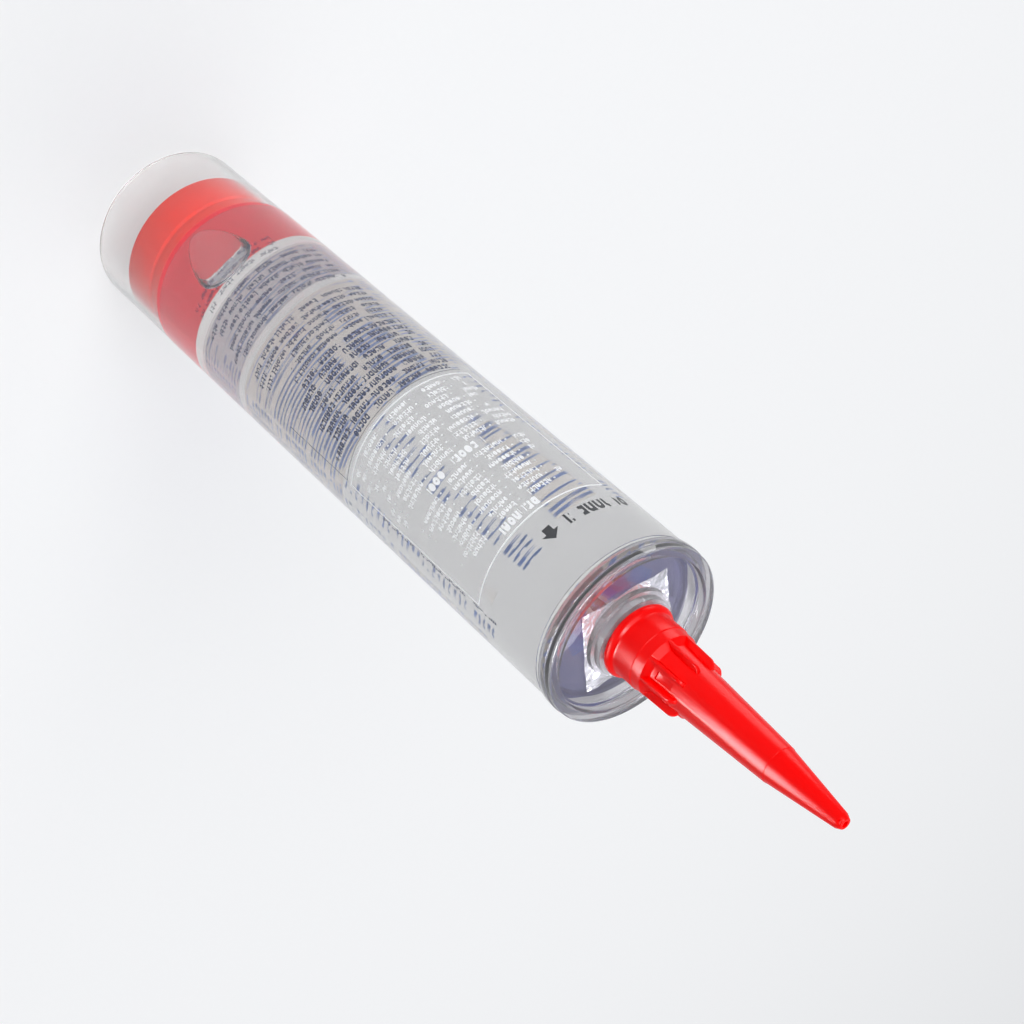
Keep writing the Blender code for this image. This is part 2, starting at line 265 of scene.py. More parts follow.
def put(tree, socket, value):
    """Set a socket to a value, or link it to another socket."""
    if isinstance(value, bpy.types.NodeSocket):
        tree.links.new(value, socket)
    else:
        socket.default_value = value


def calc(tree, operation, *values):
    node = add(tree, "ShaderNodeMath", operation=operation)
    for socket, value in zip(node.inputs, values):
        put(tree, socket, value)
    return node.outputs[0]


def total(tree, operation, *values):
    """One operation over several values in turn."""
    result = values[0]
    for value in values[1:]:
        result = calc(tree, operation, result, value)
    return result


def between(tree, value, lowest, highest):
    over = calc(tree, "GREATER_THAN", value, lowest)
    under = calc(tree, "LESS_THAN", value, highest)
    return calc(tree, "MULTIPLY", over, under)


def square_sum(tree, first, second):
    return calc(tree, "ADD", calc(tree, "MULTIPLY", first, first), calc(tree, "MULTIPLY", second, second))


def chance(tree, first, second):
    """A random value from 0 to 1 for each pair of whole numbers."""
    pair = add(tree, "ShaderNodeCombineXYZ")
    put(tree, pair.inputs[0], first)
    put(tree, pair.inputs[1], second)
    noise = add(tree, "ShaderNodeTexWhiteNoise", noise_dimensions="2D")
    tree.links.new(pair.outputs[0], noise.inputs["Vector"])
    return noise.outputs["Value"]


def blend_colour(tree, share, first, second):
    node = add(tree, "ShaderNodeMix", data_type="RGBA")
    put(tree, node.inputs["Factor"], share)
    put(tree, node.inputs["A"], first)
    put(tree, node.inputs["B"], second)
    return node.outputs["Result"]


def new_group(name, inputs, outputs):
    """A shader node group whose inputs and outputs are all numbers."""
    tree = bpy.data.node_groups.new(name, "ShaderNodeTree")
    for label in inputs:
        tree.interface.new_socket(label, in_out="INPUT", socket_type="NodeSocketFloat")
    for label in outputs:
        tree.interface.new_socket(label, in_out="OUTPUT", socket_type="NodeSocketFloat")
    source = tree.nodes.new("NodeGroupInput")
    result = tree.nodes.new("NodeGroupOutput")
    return tree, source, result


def use_group(tree, group, **values):
    node = add(tree, "ShaderNodeGroup", node_tree=group)
    for name, value in values.items():
        put(tree, node.inputs[name.replace("_", " ")], value)
    return node.outputs[0]


def principled(tree, **values):
    shader = add(tree, "ShaderNodeBsdfPrincipled")
    for name, value in values.items():
        put(tree, shader.inputs[name.replace("_", " ")], value)
    return shader


def finish_with(tree, shader):
    result = add(tree, "ShaderNodeOutputMaterial")
    tree.links.new(shader.outputs[0], result.inputs["Surface"])


def bump(tree, height, distance):
    node = add(tree, "ShaderNodeBump")
    node.inputs["Distance"].default_value = distance * MM
    put(tree, node.inputs["Height"], height)
    return node.outputs[0]


def object_place(tree):
    return add(tree, "ShaderNodeTexCoord").outputs["Object"]


def unevenness_group():
    """Noise on the piece's own coordinates, for waves, patches, grain and dents.

    Its scale is in cycles per metre, and a stretch below 1 draws the pattern out along the axis.
    """
    tree, source, result = new_group("unevenness", ["Scale", "Detail", "Stretch"], ["Noise"])
    stretch = add(tree, "ShaderNodeCombineXYZ")
    put(tree, stretch.inputs["X"], 1.0)
    put(tree, stretch.inputs["Y"], 1.0)
    put(tree, stretch.inputs["Z"], source.outputs["Stretch"])
    mapping = add(tree, "ShaderNodeMapping")
    put(tree, mapping.inputs["Vector"], object_place(tree))
    put(tree, mapping.inputs["Scale"], stretch.outputs[0])
    noise = add(tree, "ShaderNodeTexNoise")
    put(tree, noise.inputs["Vector"], mapping.outputs[0])
    put(tree, noise.inputs["Scale"], source.outputs["Scale"])
    put(tree, noise.inputs["Detail"], source.outputs["Detail"])
    put(tree, result.inputs["Noise"], noise.outputs["Fac"])
    return tree


unevenness = unevenness_group()


def noise_at(tree, scale, detail=3.0, stretch=1.0):
    return use_group(tree, unevenness, Scale=scale, Detail=detail, Stretch=stretch)


def mix_shaders(tree, share, first, second):
    node = add(tree, "ShaderNodeMixShader")
    put(tree, node.inputs["Fac"], share)
    tree.links.new(first.outputs[0], node.inputs[1])
    tree.links.new(second.outputs[0], node.inputs[2])
    return node


def let_lamps_through(tree, shader, tint):
    """Clear plastic as the eye sees it, and a tinted opening for the lamps' light."""
    path = add(tree, "ShaderNodeLightPath")
    opening = add(tree, "ShaderNodeBsdfTransparent")
    opening.inputs["Color"].default_value = (*tint, 1)
    return mix_shaders(tree, path.outputs["Is Shadow Ray"], shader, opening)


def seen_directly(tree):
    """1 where the camera, a reflection or clear plastic looks, and 0 where light is gathered."""
    path = add(tree, "ShaderNodeLightPath")
    return total(
        tree, "MAXIMUM",
        path.outputs["Is Camera Ray"], path.outputs["Is Glossy Ray"], path.outputs["Is Transmission Ray"])


# Printed film: where a point lies on it, and the kinds of print
FILM_SEAM = 54.5


def around(turn):
    """Distance in mm round the film from its seam to a turn."""
    return ((turn - FILM_SEAM) % 360) * math.radians(film_radius)


def film_place_group():
    """Where a point lies on the film: mm round from the seam, and mm up from the rear rim."""
    tree, source, result = new_group("film_place", [], ["Around", "Height"])
    mapping = add(tree, "ShaderNodeMapping")
    mapping.inputs["Rotation"].default_value = (0, 0, -aim(FILM_SEAM))
    tree.links.new(object_place(tree), mapping.inputs["Vector"])
    parts = add(tree, "ShaderNodeSeparateXYZ")
    tree.links.new(mapping.outputs[0], parts.inputs[0])
    angle = calc(tree, "ARCTAN2", parts.outputs[1], parts.outputs[0])
    angle = calc(tree, "FLOORED_MODULO", angle, 2 * math.pi)
    tree.links.new(calc(tree, "MULTIPLY", angle, film_radius), result.inputs["Around"])
    tree.links.new(calc(tree, "DIVIDE", parts.outputs[2], MM), result.inputs["Height"])
    return tree


# Letter-like marks. Lengths are shares of a mark's own size, and chances are shares of all marks
SMALL_LETTER_DROP = 0.28
LETTER_SPREAD = 2.44
CLOSED_BELOW_CHANCE = 0.58
OPEN_ABOVE_CHANCE = 0.22
BEYOND_LETTER = 9.0
RING_REACH = 1.1
RING_LEVEL = 1.04
GAP_CHANCE = 0.38
GAP_START = 0.2
GAP_LEVEL = 0.5
BAR_CHANCE = 0.34
BAR_SHARE = 0.5
STEM_CHANCE = 0.5
STEM_SHARE = 0.45

# Words, as shares of a word's room, and the dots that may stand between them
WORD_END = 0.92
WORD_END_SPREAD = 0.26
DOT_ROOM = 0.16
DOT_PLACE = 0.885
DOT_LEVEL = 0.62
DOT_AREA = 0.085

# Keys that keep the random draws for rows, letter shapes and letter details apart
ROW_DRAW = 3.0
SHAPE_DRAW = 40.0
DETAIL_DRAW = 80.0


def word_rows_group():
    """Rows of letter-like marks that stand for small print and spell nothing.

    Each mark is a ring. Some are opened below, above or at the right, and some get a tall stem.
    """
    names = ["Around", "Height", "Left", "Width", "Top", "Pitch", "Rows", "Letter Height", "Letter Width",
             "Word Length", "Ragged", "Centred", "Capitals", "Weight", "Dots", "Seed"]
    tree, source, result = new_group("word_rows", names, ["Ink"])
    value = {name: source.outputs[name] for name in names}
    down = calc(tree, "SUBTRACT", value["Top"], value["Height"])
    row = calc(tree, "FLOOR", calc(tree, "DIVIDE", down, value["Pitch"]))
    drop = calc(tree, "SUBTRACT", down, calc(tree, "MULTIPLY", row, value["Pitch"]))
    drop = calc(tree, "DIVIDE", drop, value["Letter Height"])
    row_key = calc(tree, "ADD", row, value["Seed"])
    row_chance = chance(tree, row_key, ROW_DRAW)
    share = calc(tree, "SUBTRACT", 1.0, calc(tree, "MULTIPLY", value["Ragged"], row_chance))
    length = calc(tree, "MULTIPLY", value["Width"], share)
    spare = calc(tree, "SUBTRACT", value["Width"], length)
    indent = total(tree, "MULTIPLY", spare, value["Centred"], 0.5)
    along = calc(tree, "SUBTRACT", value["Around"], calc(tree, "ADD", value["Left"], indent))
    inside = total(
        tree, "MULTIPLY",
        calc(tree, "GREATER_THAN", row, -0.5),
        calc(tree, "LESS_THAN", row, calc(tree, "SUBTRACT", value["Rows"], 0.5)),
        calc(tree, "GREATER_THAN", along, 0.0),
        calc(tree, "LESS_THAN", along, length),
    )
    words = calc(tree, "ADD", calc(tree, "DIVIDE", along, value["Word Length"]), row_chance)
    word_share = calc(tree, "FRACT", words)
    word_chance = chance(tree, calc(tree, "FLOOR", words), row_key)
    word_end = calc(tree, "MULTIPLY_ADD", word_chance, -WORD_END_SPREAD, WORD_END)
    word_end = calc(tree, "MULTIPLY_ADD", value["Dots"], -DOT_ROOM, word_end)
    letters = calc(tree, "DIVIDE", along, value["Letter Width"])
    letter_share = calc(tree, "FRACT", letters)
    letter_key = calc(tree, "FLOOR", letters)
    shape = chance(tree, letter_key, calc(tree, "ADD", row_key, SHAPE_DRAW))
    detail = chance(tree, letter_key, calc(tree, "ADD", row_key, DETAIL_DRAW))
    top = calc(tree, "MULTIPLY", calc(tree, "SUBTRACT", 1.0, value["Capitals"]), SMALL_LETTER_DROP)
    middle = calc(tree, "MULTIPLY_ADD", top, 0.5, 0.5)
    half = calc(tree, "MULTIPLY_ADD", top, -0.5, 0.5)
    across = calc(tree, "MULTIPLY_ADD", letter_share, LETTER_SPREAD, -1.0)
    upright = calc(tree, "DIVIDE", calc(tree, "SUBTRACT", drop, middle), half)
    lowest = calc(tree, "MULTIPLY", calc(tree, "LESS_THAN", shape, CLOSED_BELOW_CHANCE), BEYOND_LETTER)
    highest = calc(tree, "MULTIPLY", calc(tree, "GREATER_THAN", shape, OPEN_ABOVE_CHANCE), -BEYOND_LETTER)
    bent = calc(tree, "MAXIMUM", calc(tree, "MINIMUM", upright, lowest), highest)
    reach = square_sum(tree, across, bent)
    hollow = calc(tree, "POWER", calc(tree, "SUBTRACT", 1.0, value["Weight"]), 2.0)
    level = calc(tree, "ABSOLUTE", upright)
    low_enough = calc(tree, "LESS_THAN", level, RING_LEVEL)
    ring = calc(tree, "MULTIPLY", between(tree, reach, hollow, RING_REACH), low_enough)
    opening = total(
        tree, "MULTIPLY",
        calc(tree, "GREATER_THAN", detail, 1 - GAP_CHANCE),
        calc(tree, "GREATER_THAN", across, GAP_START),
        calc(tree, "LESS_THAN", level, GAP_LEVEL),
    )
    ring = calc(tree, "SUBTRACT", ring, opening)
    bar = total(
        tree, "MULTIPLY",
        calc(tree, "LESS_THAN", detail, BAR_CHANCE),
        calc(tree, "LESS_THAN", level, calc(tree, "MULTIPLY", value["Weight"], BAR_SHARE)),
        calc(tree, "LESS_THAN", calc(tree, "ABSOLUTE", across), 1.0),
    )
    stem = total(
        tree, "MULTIPLY",
        calc(tree, "GREATER_THAN", detail, 1 - STEM_CHANCE),
        calc(tree, "LESS_THAN", letter_share, calc(tree, "MULTIPLY", value["Weight"], STEM_SHARE)),
        between(tree, drop, 0.0, 1.0),
    )
    in_word = calc(tree, "LESS_THAN", word_share, word_end)
    mark = calc(tree, "MULTIPLY", total(tree, "MAXIMUM", ring, bar, stem), in_word)
    dot_across = calc(tree, "MULTIPLY", calc(tree, "SUBTRACT", word_share, DOT_PLACE), value["Word Length"])
    dot_upright = calc(tree, "MULTIPLY", calc(tree, "SUBTRACT", drop, DOT_LEVEL), value["Letter Height"])
    dot_reach = square_sum(tree, dot_across, dot_upright)
    dot = calc(tree, "MULTIPLY", calc(tree, "LESS_THAN", dot_reach, DOT_AREA), value["Dots"])
    tree.links.new(calc(tree, "MULTIPLY", calc(tree, "MAXIMUM", mark, dot), inside), result.inputs["Ink"])
    return tree


def field_group():
    """A filled rectangle on the film."""
    names = ["Around", "Height", "Left", "Right", "Bottom", "Top"]
    tree, source, result = new_group("print_field", names, ["Ink"])
    value = {name: source.outputs[name] for name in names}
    across = between(tree, value["Around"], value["Left"], value["Right"])
    upright = between(tree, value["Height"], value["Bottom"], value["Top"])
    tree.links.new(calc(tree, "MULTIPLY", across, upright), result.inputs["Ink"])
    return tree


film_place = film_place_group()
word_rows = word_rows_group()
print_field = field_group()

# Layout of the film. Turns in degrees, heights in mm above the rear rim
PANEL_LEFT = -63.5
PANEL_RIGHT = 51.5
PANEL_BOTTOM = 135.2
PANEL_TOP = 191.9
PANEL_PRINT = (-58.0, 47.0)
FRAME_LINE = 0.45
SEAM_MARKS = (52.4, 54.2)

# Small dark marks, stacked bars, and how far the arrow's shaft runs into its head: mm and shares
MARK_PITCH = 0.8
MARK_WIDTH = 0.4
MARK_SHARE = 0.7
MARK_GAP_CHANCE = 0.55
STRIPE_PITCH = 2.4
STRIPE_SHARE = 0.55
ARROW_OVERLAP = 0.1

WHITE_INK = (0.9, 0.91, 0.93, 1)
BLACK_INK = (0.012, 0.014, 0.02, 1)
NAVY_INK = (0.03, 0.04, 0.09, 1)
BLUE_INK = (0.05, 0.13, 0.4, 1)
CREAM_INK = (0.8, 0.74, 0.64, 1)
VIOLET_INK = (0.17, 0.17, 0.33, 1)


class Film:
    """Builds up the print: each layer covers part of what lies below it."""

    def __init__(self, tree):
        self.tree = tree
        place = add(tree, "ShaderNodeGroup", node_tree=film_place)
        self.around = place.outputs["Around"]
        self.height = place.outputs["Height"]
        self.colour = WHITE_INK
        self.cover = 0.0

    def lay(self, ink, colour, strength=1.0):
        """Lay ink of a colour. A strength below 1 lets some of the clear film show through."""
        self.colour = blend_colour(self.tree, ink, self.colour, colour)
        ink = calc(self.tree, "MULTIPLY", ink, strength)
        self.cover = calc(self.tree, "MAXIMUM", self.cover, ink)

    def field(self, left, right, bottom, top):
        """A rectangle from a left turn round to a right turn."""
        start = around(left)
        return use_group(
            self.tree, print_field, Around=self.around, Height=self.height, Left=start,
            Right=start + math.radians(right - left) * film_radius, Bottom=bottom, Top=top,
        )

    def rows(self, left, right, top, count, seed, pitch, size, word, letter,
             ragged=0.3, centred=0, capitals=0, weight=0.4, dots=0):
        """Rows of marks from a left turn round to a right turn. Pitch, size, word and letter are in mm."""
        start = around(left)
        return use_group(
            self.tree, word_rows, Around=self.around, Height=self.height, Left=start,
            Width=math.radians(right - left) * film_radius, Top=top, Pitch=pitch, Rows=count,
            Letter_Height=size, Letter_Width=letter, Word_Length=word, Ragged=ragged,
            Centred=centred, Capitals=capitals, Weight=weight, Dots=dots, Seed=seed,
        )

    def outline(self, left, right, bottom, top, line):
        """A frame of thin lines."""
        turn = math.degrees(line / film_radius)
        outer = self.field(left, right, bottom, top)
        inner = self.field(left + turn, right - turn, bottom + line, top - line)
        return calc(self.tree, "SUBTRACT", outer, inner)

    def marks(self, left, right, bottom, top):
        """A thin upright line of small dark marks."""
        tree = self.tree
        cell = calc(tree, "DIVIDE", self.height, MARK_PITCH)
        key = calc(tree, "FLOOR", cell)
        across = calc(tree, "DIVIDE", calc(tree, "SUBTRACT", self.around, around(left)), MARK_WIDTH)
        seen = calc(tree, "GREATER_THAN", chance(tree, key, calc(tree, "FLOOR", across)), MARK_GAP_CHANCE)
        seen = calc(tree, "MULTIPLY", seen, calc(tree, "LESS_THAN", calc(tree, "FRACT", cell), MARK_SHARE))
        return calc(tree, "MULTIPLY", seen, self.field(left, right, bottom, top))

    def stripes(self, left, right, bottom, top):
        """Solid bars round the film, stacked along it."""
        step = calc(self.tree, "FRACT", calc(self.tree, "DIVIDE", self.height, STRIPE_PITCH))
        bars = calc(self.tree, "LESS_THAN", step, STRIPE_SHARE)
        return calc(self.tree, "MULTIPLY", bars, self.field(left, right, bottom, top))

    def arrow(self, turn, bottom, top, width, shaft):
        """An arrow that points towards the nozzle."""
        tree = self.tree
        offset = calc(tree, "ABSOLUTE", calc(tree, "SUBTRACT", self.around, around(turn)))
        below_tip = calc(tree, "SUBTRACT", top, self.height)
        head = calc(tree, "MULTIPLY",
                    calc(tree, "LESS_THAN", offset, below_tip),
                    calc(tree, "LESS_THAN", offset, width / 2))
        head = calc(tree, "MULTIPLY", head, calc(tree, "LESS_THAN", below_tip, width / 2))
        stem = calc(tree, "MULTIPLY", calc(tree, "LESS_THAN", offset, shaft / 2),
                    between(tree, self.height, bottom, top - width / 2 + ARROW_OVERLAP))
        return calc(tree, "MAXIMUM", head, stem)


# Kinds of print: row pitch, letter height and width and word length in mm, and the look of the rows
HEADING = dict(pitch=4, size=2.7, letter=1.9, ragged=0, capitals=1, weight=0.75)
PANEL_ROWS = dict(pitch=2.73, size=2.0, word=11, letter=1.12, centred=1, weight=0.55, dots=1)
CAPITAL_ROWS = dict(pitch=3.1, size=2.1, word=9, letter=1.3, capitals=1, weight=0.55)
DENSE_ROWS = dict(pitch=3.1, size=2.0, word=8, letter=1.2, weight=0.55)
SMALL_ROWS = dict(pitch=2.9, size=1.8, word=8, letter=1.2, ragged=0.2)
BOLD_MARKS = dict(pitch=6, size=3.6, word=11, letter=2.6, ragged=0, capitals=1, weight=0.65)
FAR_STRIP = dict(pitch=2.0, size=1.2, word=9, letter=2.2, weight=0.6)
FAR_COLUMNS = dict(pitch=1.62, size=1.05, word=12, letter=2.6, ragged=0.05, weight=0.6)
FAR_END = dict(pitch=1.6, size=1.0, word=9, letter=2.2, ragged=0.05, weight=0.6)
GUTTER_BLOCK = dict(pitch=1.95, size=1.2, word=30, letter=1.7, ragged=0, weight=0.7)
GUTTER_ROWS = dict(pitch=2.4, size=1.1, word=5, letter=1.7, weight=0.6)
GUTTER_WIDE_ROWS = dict(pitch=2.6, size=1.2, word=5, letter=1.7, ragged=0.2, weight=0.6)


def print_panel(film):
    """Facing the camera, ahead of the middle: white print in a white frame."""
    film.lay(film.outline(PANEL_LEFT, PANEL_RIGHT, PANEL_BOTTOM, PANEL_TOP, FRAME_LINE), WHITE_INK)
    film.lay(film.rows(-21, 11, top=190.4, count=1, seed=1, word=9, **HEADING), WHITE_INK)
    film.lay(film.rows(*PANEL_PRINT, top=186.8, count=8, seed=2, ragged=0.4, **PANEL_ROWS), WHITE_INK)
    film.lay(film.rows(-27, 17, top=164.4, count=1, seed=11, word=11, **HEADING), WHITE_INK)
    film.lay(film.rows(*PANEL_PRINT, top=160.8, count=9, seed=12, ragged=0.25, **PANEL_ROWS), WHITE_INK)
    film.lay(film.marks(*SEAM_MARKS, bottom=150, top=193), NAVY_INK)


def print_middle(film):
    """Facing the camera, behind the middle: two blocks of navy rows in the corner of two thin lines."""
    film.lay(film.rows(-58, 48, top=132.7, count=9, seed=31, **CAPITAL_ROWS), NAVY_INK, strength=0.95)
    film.lay(film.rows(-58, 46, top=104.3, count=6, seed=52, **DENSE_ROWS), NAVY_INK, strength=0.9)
    film.lay(film.field(-60, 50.2, bottom=133.45, top=133.7), NAVY_INK, strength=0.6)
    film.lay(film.field(49.7, 50.2, bottom=106, top=133.7), NAVY_INK, strength=0.6)


def print_rear(film):
    """Facing the camera, towards the rear: two more blocks of navy rows."""
    film.lay(
        film.rows(-58, 46, top=81.5, count=6, seed=71, ragged=0.2, **DENSE_ROWS), NAVY_INK, strength=0.85)
    film.lay(film.rows(-38, 40, top=61.6, count=3, seed=83, **SMALL_ROWS), NAVY_INK, strength=0.7)


def print_front_end(film):
    """Facing the camera, next to the cap: an arrow and bold marks."""
    film.lay(film.arrow(-11.2, bottom=197.5, top=202.0, width=5.0, shaft=2.4), BLACK_INK, strength=0.95)
    film.lay(film.rows(-66, -23, top=201.2, count=1, seed=91, **BOLD_MARKS), BLACK_INK, strength=0.95)
    film.lay(film.marks(*SEAM_MARKS, bottom=193, top=199), NAVY_INK)


# The far side's print: two violet fields, with strips of small print and a gutter of marks between them
FAR_LEFT = (100.0, 175.6)
FAR_RIGHT = (185.0, 260.0)
FAR_GUTTER = (178.3, 181.6)
FAR_WIDTH = (100.0, 260.0)
VIOLET_LEFT = (100.0, 170.0)
VIOLET_RIGHT = (190.0, 260.0)
VIOLET_BOTTOM = 136
VIOLET_TOP = 212
STRIP_TOP = 177


def print_far_front(film):
    """The far side, ahead of the middle: violet fields with blue bars, and small print between them."""
    film.lay(film.field(VIOLET_LEFT[1], FAR_LEFT[1], VIOLET_BOTTOM, STRIP_TOP), CREAM_INK, strength=0.45)
    film.lay(film.field(FAR_RIGHT[0], VIOLET_RIGHT[0], VIOLET_BOTTOM, STRIP_TOP), CREAM_INK, strength=0.45)
    film.lay(
        film.rows(*FAR_LEFT, top=176, count=20, seed=45, ragged=0.02, **FAR_STRIP), BLUE_INK, strength=0.95)
    film.lay(
        film.rows(*FAR_RIGHT, top=176, count=20, seed=85, ragged=0.4, **FAR_STRIP), BLUE_INK, strength=0.95)
    film.lay(film.field(*VIOLET_LEFT, VIOLET_BOTTOM, VIOLET_TOP), VIOLET_INK, strength=0.75)
    film.lay(film.field(*VIOLET_RIGHT, VIOLET_BOTTOM, VIOLET_TOP), VIOLET_INK, strength=0.75)
    film.lay(film.field(*FAR_WIDTH, VIOLET_TOP, film_front), WHITE_INK, strength=0.6)
    film.lay(film.stripes(188, 196, bottom=140, top=158), BLUE_INK, strength=0.95)
    film.lay(film.stripes(208, 226, bottom=158, top=176), BLUE_INK, strength=0.95)
    film.lay(film.stripes(142, 170, bottom=150, top=172), BLUE_INK, strength=0.95)
    film.lay(film.rows(*FAR_GUTTER, top=180.4, count=5, seed=15, **GUTTER_BLOCK), BLUE_INK)
    film.lay(film.rows(*FAR_GUTTER, top=168.2, count=14, seed=17, **GUTTER_ROWS), BLUE_INK, strength=0.9)


def print_far_rear(film):
    """The far side, towards the rear: blue rows in columns, then two blocks of close rows."""
    film.lay(film.field(*FAR_WIDTH, bottom=36.8, top=56), VIOLET_INK, strength=0.35)
    film.lay(film.field(*FAR_WIDTH, bottom=59, top=110), CREAM_INK, strength=0.4)
    film.lay(film.rows(*FAR_WIDTH, top=109.6, count=31, seed=21, **FAR_COLUMNS), BLUE_INK, strength=0.9)
    film.lay(film.rows(*FAR_WIDTH, top=55.8, count=12, seed=61, **FAR_END), BLUE_INK, strength=0.7)
    film.lay(
        film.rows(*FAR_LEFT, top=134, count=12, seed=121, ragged=0.02, **FAR_STRIP), BLUE_INK, strength=0.95)
    film.lay(film.rows(*FAR_RIGHT, top=134, count=12, seed=161, **FAR_STRIP), BLUE_INK, strength=0.95)
    film.lay(film.rows(*FAR_GUTTER, top=133, count=9, seed=17, **GUTTER_WIDE_ROWS), BLUE_INK, strength=0.9)


# Finishes. Scales of waves, patches, creases and dents are cycles per metre, and their heights are mm
FILM_TINT = (0.655, 0.66, 0.665)
DENSE_TINT = (0.59, 0.6, 0.595)
FILM_LAMP_TINT = (0.72, 0.7, 0.76)
FAR_REAR_LAMP_TINT = (0.5, 0.42, 0.64)
CLEAR_LAMP_TINT = (0.95, 0.95, 0.95)
FILM_WAVES = 60
FILM_WAVE_HEIGHT = 0.012
MOULDING_WAVES = 90
RED_PATCHES = 55
RED_DEEP_SHARE = 0.92
RED_ROUGHNESS_SPREAD = 0.12
RED_GRAIN_HEIGHT = 0.012
FOIL_CREASES = 420
FOIL_CREASE_SHARE = 0.6
FOIL_DENTS = 300
FOIL_DENT_HEIGHT = 0.45
FOIL_PATCHES = 120
FOIL_TONES = ((0.9, 0.95, 0.98, 1), (0.93, 0.9, 0.94, 1))


def make_printed_wall(name, print_on, tint, lamp_tint=FILM_LAMP_TINT):
    """Barrel wall under one region of the film: clear, with ink where it is printed."""
    material, tree = new_tree(name)
    film = Film(tree)
    print_on(film)
    clear = principled(
        tree, Base_Color=(*tint, 1), Roughness=0.05, IOR=CLEAR_INDEX, Transmission_Weight=0.9)
    waves = noise_at(tree, FILM_WAVES, detail=2.0, stretch=0.4)
    put(tree, clear.inputs["Normal"], bump(tree, waves, FILM_WAVE_HEIGHT))
    see = let_lamps_through(tree, clear, lamp_tint)
    ink = principled(tree, Base_Color=film.colour, Roughness=0.35)
    finish_with(tree, mix_shaders(tree, film.cover, see, ink))
    return material


def make_clear(name, colour, roughness, index=CLEAR_INDEX, clarity=1.0, waviness=0.02):
    """Clear moulded plastic with the faint waviness of a moulding. Clarity below 1 makes it milky."""
    material, tree = new_tree(name)
    shader = principled(
        tree, Base_Color=(*colour, 1), Roughness=roughness, IOR=index, Transmission_Weight=clarity)
    if waviness:
        waves = noise_at(tree, MOULDING_WAVES, detail=2.0, stretch=0.5)
        put(tree, shader.inputs["Normal"], bump(tree, waves, waviness))
    finish_with(tree, let_lamps_through(tree, shader, CLEAR_LAMP_TINT))
    return material


def make_bonded(name):
    """A face that touches plastic or filling of its own kind, so that nothing shows of it."""
    material, tree = new_tree(name)
    finish_with(tree, principled(tree, Base_Color=(1, 1, 1, 1), Roughness=0.0, Alpha=0.0))
    return material


def make_red(name, colour, roughness, shine, grain):
    """Moulded red plastic with a fine grain and slightly uneven colour."""
    material, tree = new_tree(name)
    patches = noise_at(tree, RED_PATCHES)
    fine = noise_at(tree, grain, detail=4.0)
    deep = tuple(part * RED_DEEP_SHARE for part in colour)
    shade_of = blend_colour(tree, patches, (*colour, 1), (*deep, 1))
    smoothest = roughness - RED_ROUGHNESS_SPREAD / 2
    rough = calc(tree, "MULTIPLY_ADD", patches, RED_ROUGHNESS_SPREAD, smoothest)
    shader = principled(tree, Base_Color=shade_of, Roughness=rough, Specular_IOR_Level=shine)
    put(tree, shader.inputs["Normal"], bump(tree, fine, RED_GRAIN_HEIGHT))
    finish_with(tree, shader)
    return material


def make_foil_finish():
    material, tree = new_tree("crumpled_foil")
    creases = add(tree, "ShaderNodeTexVoronoi", feature="DISTANCE_TO_EDGE")
    creases.inputs["Scale"].default_value = FOIL_CREASES
    tree.links.new(object_place(tree), creases.inputs["Vector"])
    dents = noise_at(tree, FOIL_DENTS)
    height = calc(tree, "MULTIPLY_ADD", creases.outputs["Distance"], FOIL_CREASE_SHARE, dents)
    tone = blend_colour(tree, noise_at(tree, FOIL_PATCHES, detail=2.0), *FOIL_TONES)
    shader = principled(tree, Base_Color=tone, Metallic=0.85, Roughness=0.22)
    put(tree, shader.inputs["Normal"], bump(tree, height, FOIL_DENT_HEIGHT))
    finish_with(tree, shader)
    return material


printed_panel = make_printed_wall("printed_panel", print_panel, FILM_TINT)
printed_middle = make_printed_wall("printed_middle", print_middle, DENSE_TINT)
printed_rear = make_printed_wall("printed_rear", print_rear, DENSE_TINT)
printed_front_end = make_printed_wall("printed_front_end", print_front_end, FILM_TINT)
printed_far_front = make_printed_wall("printed_far_front", print_far_front, FILM_TINT)
printed_far_rear = make_printed_wall("printed_far_rear", print_far_rear, FILM_TINT, FAR_REAR_LAMP_TINT)
clear_wall = make_clear("barrel_clear_plastic", (0.85, 0.865, 0.86), roughness=0.08)
sawn_rim = make_clear("barrel_sawn_rim", (0.6, 0.63, 0.62), roughness=0.4)
bonded_wall = make_bonded("barrel_wall_wet_by_filling")
cap_clear = make_clear("cap_clear_plastic", (0.9, 0.89, 0.92), roughness=0.0, waviness=0.01)
# The flange is clear plastic drawn grey and milky: painted shade standing in for the dark refracted rings of
# a clear flange
cap_flange_painted_shade = make_clear("cap_flange_plastic_painted_shade", (0.5, 0.5, 0.52), roughness=0.04, clarity=0.88)
# The flange's rounded edges are drawn darker still: painted shade for the dark lines that refraction draws
# along them
cap_edge_painted_shade = make_clear("cap_flange_edges_painted_shade", (0.42, 0.42, 0.48), roughness=0.08, clarity=0.7, waviness=0)
cap_boss = make_clear("cap_boss_plastic", (0.62, 0.6, 0.62), roughness=0.15, clarity=0.85, waviness=0.03)
# The air bubble's skin is drawn slightly milky: a painted reflection that brightens its silvery rim
bubble_skin_painted_reflection = make_clear("bubble_skin_painted_reflection", (0.97, 0.97, 0.965), roughness=0.03, clarity=0.97, waviness=0.05)
cap_bonded = make_bonded("cap_face_wet_by_filling")
filling_side = make_clear(
    "filling_against_the_wall", (0.93, 0.92, 0.91), roughness=0.0, index=1.0, waviness=0)
filling_open = make_clear("filling_surface", (0.97, 0.97, 0.965), roughness=0.0)
filling_bonded = make_bonded("filling_against_the_plunger")
nozzle_red = make_red("nozzle_red_plastic", (1.0, 0.0, 0.0), roughness=0.22, shine=0.12, grain=2200)
plunger_red = make_red(
    "plunger_red_plastic", (1.0, 0.025, 0.006), roughness=0.45, shine=0.06, grain=1500)
